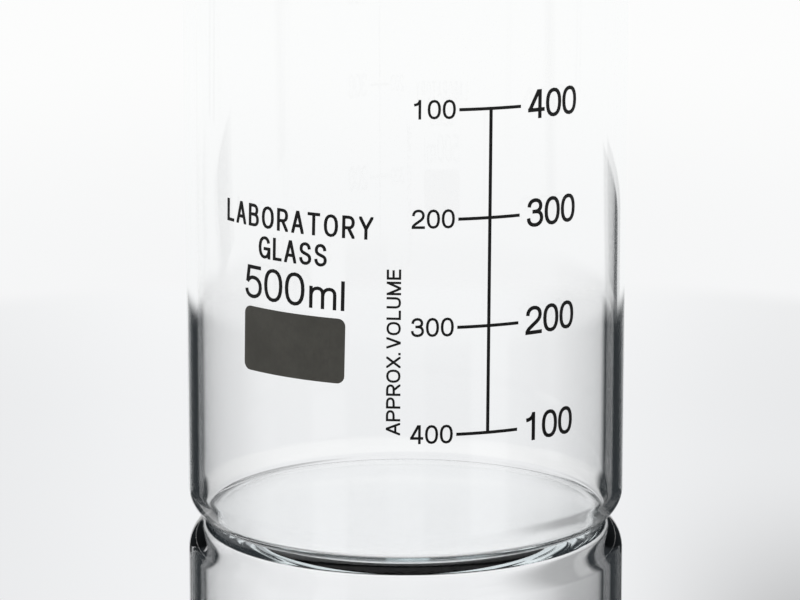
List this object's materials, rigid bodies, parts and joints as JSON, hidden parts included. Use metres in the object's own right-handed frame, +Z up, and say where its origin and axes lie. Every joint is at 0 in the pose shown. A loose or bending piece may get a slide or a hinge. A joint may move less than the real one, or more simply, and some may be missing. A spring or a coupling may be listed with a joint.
{
  "type": "laboratory beaker",
  "caption": "Low-form cylindrical glass beaker with a beaded rim, a pouring spout, a printed volume scale read both ways, and a marking spot.",
  "frame": {"origin": "centre of the flat underside, where the beaker rests", "axes": "+Z up along the vessel's axis; -Y is the printed front; the pouring spout points along -X"},
  "size_m": [0.0958, 0.0904, 0.119],
  "materials": {
    "clear_glass": "clear fire-polished blown glass, faintly green-grey at its edges",
    "scale_enamel": "fired-on black enamel, satin",
    "marking_spot": "fired-on dark warm grey enamel, matt so that it takes pencil"
  },
  "bodies": {
    "root": {"capacity_1_5": "scale_enamel", "capacity_2_0": "scale_enamel", "capacity_3_0": "scale_enamel", "capacity_4_m": "scale_enamel", "capacity_5_l": "scale_enamel", "caption_approx_1_A": "scale_enamel", "caption_approx_2_P": "scale_enamel", "caption_approx_3_P": "scale_enamel", "caption_approx_4_R": "scale_enamel", "caption_approx_5_O": "scale_enamel", "caption_approx_6_X": "scale_enamel", "caption_approx_7_dot": "scale_enamel", "caption_volume_1_V": "scale_enamel", "caption_volume_2_O": "scale_enamel", "caption_volume_3_L": "scale_enamel", "caption_volume_4_U": "scale_enamel", "caption_volume_5_M": "scale_enamel", "caption_volume_6_E": "scale_enamel", "glass_vessel": "clear_glass", "label_glass_1_G": "scale_enamel", "label_glass_2_L": "scale_enamel", "label_glass_3_A": "scale_enamel", "label_glass_4_S": "scale_enamel", "label_glass_5_S": "scale_enamel", "label_laboratory_10_Y": "scale_enamel", "label_laboratory_1_L": "scale_enamel", "label_laboratory_2_A": "scale_enamel", "label_laboratory_3_B": "scale_enamel", "label_laboratory_4_O": "scale_enamel", "label_laboratory_5_R": "scale_enamel", "label_laboratory_6_A": "scale_enamel", "label_laboratory_7_T": "scale_enamel", "label_laboratory_8_O": "scale_enamel", "label_laboratory_9_R": "scale_enamel", "marking_spot": "marking_spot", "numeral_left_100_1_1": "scale_enamel", "numeral_left_100_2_0": "scale_enamel", "numeral_left_100_3_0": "scale_enamel", "numeral_left_200_1_2": "scale_enamel", "numeral_left_200_2_0": "scale_enamel", "numeral_left_200_3_0": "scale_enamel", "numeral_left_300_1_3": "scale_enamel", "numeral_left_300_2_0": "scale_enamel", "numeral_left_300_3_0": "scale_enamel", "numeral_left_400_1_4": "scale_enamel", "numeral_left_400_2_0": "scale_enamel", "numeral_left_400_3_0": "scale_enamel", "numeral_right_100_1_1": "scale_enamel", "numeral_right_100_2_0": "scale_enamel", "numeral_right_100_3_0": "scale_enamel", "numeral_right_200_1_2": "scale_enamel", "numeral_right_200_2_0": "scale_enamel", "numeral_right_200_3_0": "scale_enamel", "numeral_right_300_1_3": "scale_enamel", "numeral_right_300_2_0": "scale_enamel", "numeral_right_300_3_0": "scale_enamel", "numeral_right_400_1_4": "scale_enamel", "numeral_right_400_2_0": "scale_enamel", "numeral_right_400_3_0": "scale_enamel", "scale_line_and_marks": "scale_enamel"}
  },
  "joints": []
}
